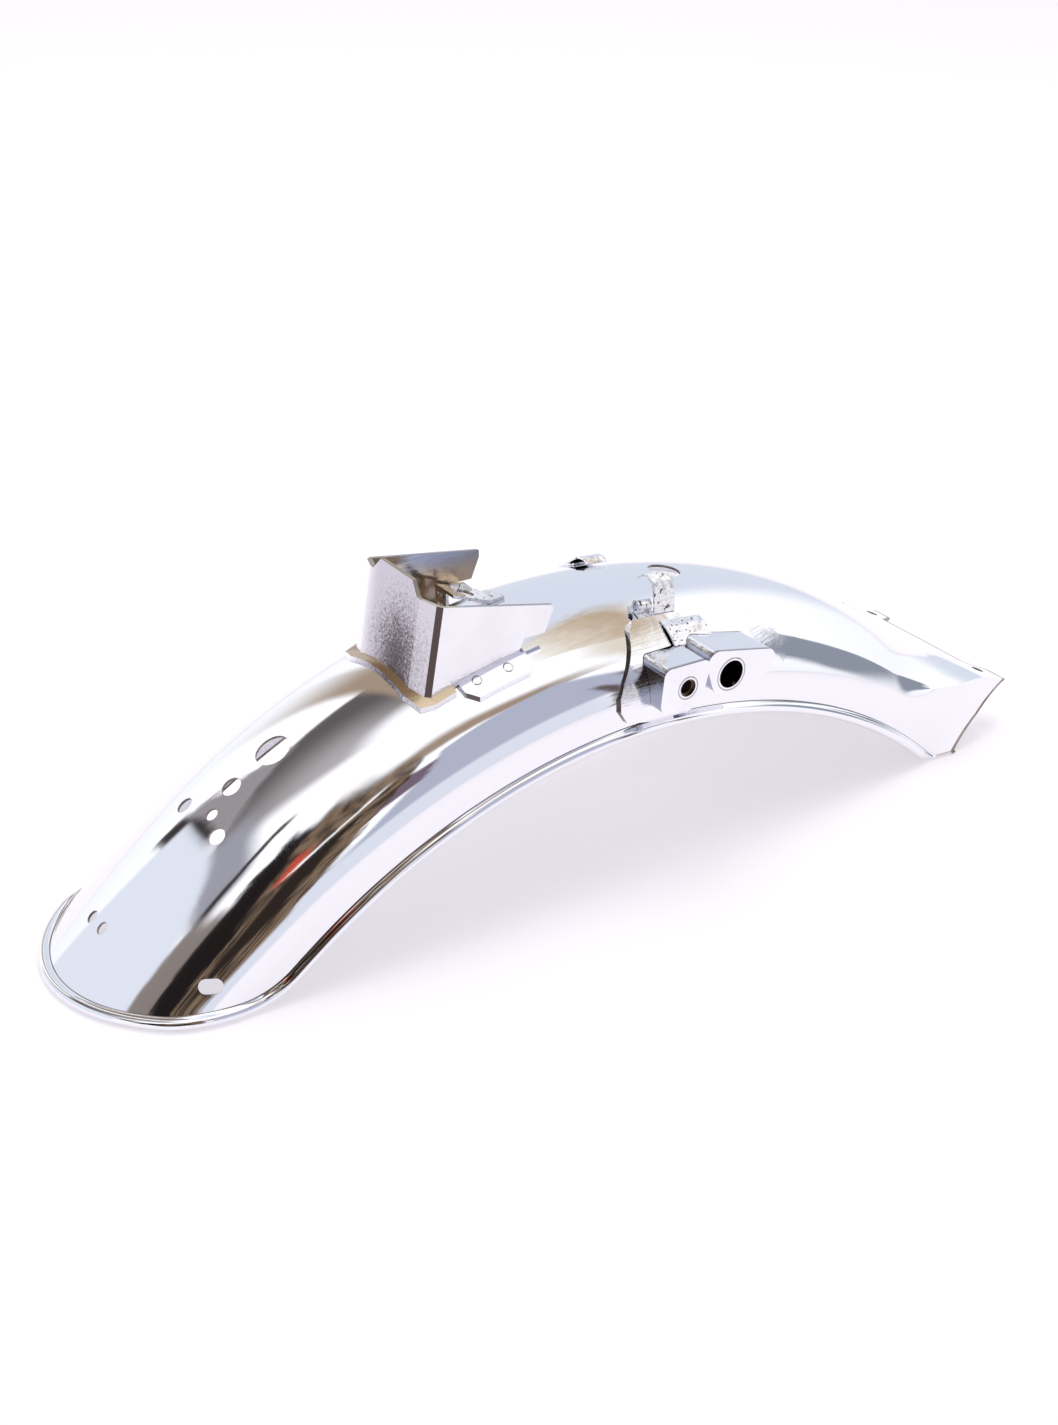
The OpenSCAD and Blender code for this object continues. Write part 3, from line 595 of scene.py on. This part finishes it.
# The studio around the part, which the chrome mirrors: white walls and lamps, with darker zones where
# the camera side, the gaps between the lamps and the room's furniture would be. Each panel covers a
# patch of directions: az from the tail towards the right side, el up from level, both in degrees.
world = bpy.data.worlds.new("studio")
bpy.context.scene.world = world
world.use_nodes = True
tree = world.node_tree
back = tree.nodes["Background"]
way = Val(tree, tree.nodes.new("ShaderNodeTexCoord").outputs["Generated"])
split = tree.nodes.new("ShaderNodeSeparateXYZ")
tree.links.new(way.socket, split.inputs[0])
wx, wy, wz = (Val(tree, s) for s in split.outputs)
az = wx.math("ARCTAN2", -wy) * (180 / math.pi)
el = wz.math("ARCSINE") * (180 / math.pi)
rag = noise(way, 5.0, 3.0, 0.6) - 0.5
fine = noise(way, 26.0, 3.0, 0.6, stretch=(1, 1, 0.25)) - 0.5


def panel(sky, colour, left, right, low, high, ragged=0.0, lean=0.0, bend=0.0, middle=0.0):
    # left, right, low and high are pairs: the edge and its softness
    a = az - el * lean + rag * ragged + fine * ragged
    e = el + rag * ragged
    if bend:
        e = e + ((az - middle) / 30.0).math("POWER", 2.0) * bend
    mask = a.step(left[0] - left[1], left[0] + left[1]) * e.step(low[0] - low[1], low[0] + low[1])
    mask = mask * (1.0 - a.step(right[0] - right[1], right[0] + right[1]))
    mask = mask * (1.0 - e.step(high[0] - high[1], high[0] + high[1]))
    return mask.pick(sky, colour)


sky = el.step(-10, 40).pick((1.05, 1.07, 1.12), (1.25, 1.25, 1.27))
# lavender paper far left, with white paper beside it, and the same paper opposite
sky = panel(sky, (0.77, 0.82, 0.92), (-151, 6), (-112, 8), (-30, 4), (70, 5))
sky = panel(sky, (0.82, 0.85, 0.95), (66, 4), (122, 3), (-30, 4), (27, 1.5), bend=5, middle=97)
# khaki board behind
khaki = (el + fine * 14).step(46, 72).pick((0.56, 0.42, 0.28), (0.95, 0.87, 0.76))
sky = panel(sky, khaki, (-190, 1), (-143, 5), (46, 6), (70, 7), ragged=10)
sky = panel(sky, (0.85, 0.77, 0.64), (162, 6), (190, 1), (49, 5), (60, 5), ragged=10)
# grey-brown ceiling left of the top lamp, darkest at its foot
tone = (el + (az + 60.0) * 0.35).step(46, 82).pick((0.13, 0.115, 0.115), (0.50, 0.47, 0.47))
sky = panel(sky, tone, (-96, 2), (-22, 9), (47, 1), (77, 5))
sky = panel(sky, (0.42, 0.32, 0.24), (-100, 1.5), (-90, 2), (20, 20), (80, 3))
sky = panel(sky, (0.36, 0.33, 0.34), (-70, 2), (-40, 5), (24, 3), (49, 2), ragged=7)
# pale blue panel over the tail, with a dark line round its left edge
sky = panel(sky, (0.38, 0.38, 0.43), (-36, 8), (9, 3), (46, 2), (57, 3), bend=4, middle=-16)
sky = panel(sky, (0.05, 0.04, 0.04), (-72, 1), (-46, 2), (47, 1), (52, 1.5), ragged=5, bend=10, middle=-20)
sky = panel(sky, (0.86, 0.90, 0.99), (-66, 1.5), (8, 1), (-20, 5), (48, 1), bend=9, middle=-20)
# lavender wall opposite, under a thin dark arc
sky = panel(sky, (0.40, 0.30, 0.23), (48, 14), (150, 14), (69, 1.2), (75, 2.5), bend=4, middle=95)
sky = panel(sky, (0.50, 0.52, 0.64), (82, 2), (134, 3), (22, 3), (67, 1), bend=4, middle=108, lean=0.12)
# dark furniture on the camera side, with a red streak and a white edge
wood = (fine * 2.4 + rag + 0.5).step(0.2, 0.8).pick((0.05, 0.035, 0.028), (0.26, 0.18, 0.12))
sky = panel(sky, wood, (32, 3), (80, 1.5), (12, 3), (69, 4), ragged=9)
sky = panel(sky, (0.28, 0.24, 0.22), (5, 1.5), (26, 2), (28, 2), (47, 1.5), ragged=8)
sky = panel(sky, (0.016, 0.012, 0.012), (20, 1), (35, 1.5), (18, 3), (62, 1.5), ragged=12)
sky = panel(sky, (0.03, 0.025, 0.022), (12, 0.7), (16, 0.7), (46, 1), (64, 1.5), lean=-0.2, ragged=3)
sky = panel(sky, (0.03, 0.022, 0.018), (46, 1.5), (67, 2), (26, 3), (54, 2), ragged=12)
sky = panel(sky, (0.62, 0.09, 0.05), (38, 1), (46, 1.5), (48, 1), (55, 1.5), ragged=6)
sky = panel(sky, (1.2, 1.17, 1.15), (-34, 0.7), (-30, 0.7), (49, 1), (64, 1.5), lean=1.54, ragged=3)
sky = panel(sky, (0.20, 0.14, 0.19), (79, 1), (90, 1.5), (44, 1.5), (60, 2), ragged=8)
# dark stand left, and thin posts on the right
sky = panel(sky, (0.09, 0.075, 0.075), (-116.6, 0.7), (-113.4, 0.7), (-30, 2), (72, 2), lean=0.22, ragged=2)
sky = panel(sky, (0.32, 0.23, 0.16), (-110.6, 0.7), (-107.8, 0.7), (-30, 2), (74, 2), lean=0.22, ragged=2)
sky = panel(sky, (0.30, 0.33, 0.39), (150, 4), (181, 1), (2, 5), (30, 5), ragged=6)
sky = panel(sky, (0.12, 0.09, 0.08), (121, 0.7), (123.5, 0.7), (-30, 2), (38, 4), lean=0.1, ragged=3)
sky = panel(sky, (0.22, 0.17, 0.14), (127, 0.8), (130, 0.8), (-30, 2), (44, 4), lean=0.2, ragged=3)
tree.links.new(sky.socket, back.inputs["Color"])
back.inputs["Strength"].default_value = 1.0


# One large soft lamp overhead and to the left gives the part its soft shadow.
def lamp(name, place, aim, size, power, color=(1, 1, 1)):
    data = bpy.data.lights.new(name, "AREA")
    data.shape, data.size, data.energy, data.color = "DISK", size, power, color
    obj = bpy.data.objects.new(name, data)
    bpy.context.collection.objects.link(obj)
    obj.location = place
    obj.rotation_euler = (Vector(aim) - Vector(place)).to_track_quat("-Z", "Y").to_euler()
    obj.visible_glossy = False
    return obj


lamp("overhead", (-0.5, 0.4, 2.2), (0, 0, 0), 1.6, 16)

# Camera: from the right of the tail, thirty degrees up, rolled as the photograph is.
eye, aim, up = Vector((677.6, -505.3, 519.4)), Vector((0, -15.5, 62.0)), Vector((0, -0.03664, 0.99933))
look = (aim - eye).normalized()
right = look.cross(up).normalized()
above = right.cross(look)
roll = math.radians(-0.3)
right, above = (right * math.cos(roll) + above * math.sin(roll),
                above * math.cos(roll) - right * math.sin(roll))
cam = bpy.data.objects.new("camera", bpy.data.cameras.new("camera"))
bpy.context.collection.objects.link(cam)
cam.matrix_world = Matrix.Translation(eye * MM) @ Matrix((right, above, -look)).transposed().to_4x4()
cam.data.sensor_fit = "HORIZONTAL"
cam.data.sensor_width = 36.0
cam.data.lens = 2016.0 / 1058.0 * 36.0
bpy.context.scene.camera = cam
bpy.context.scene.view_settings.view_transform = "Standard"
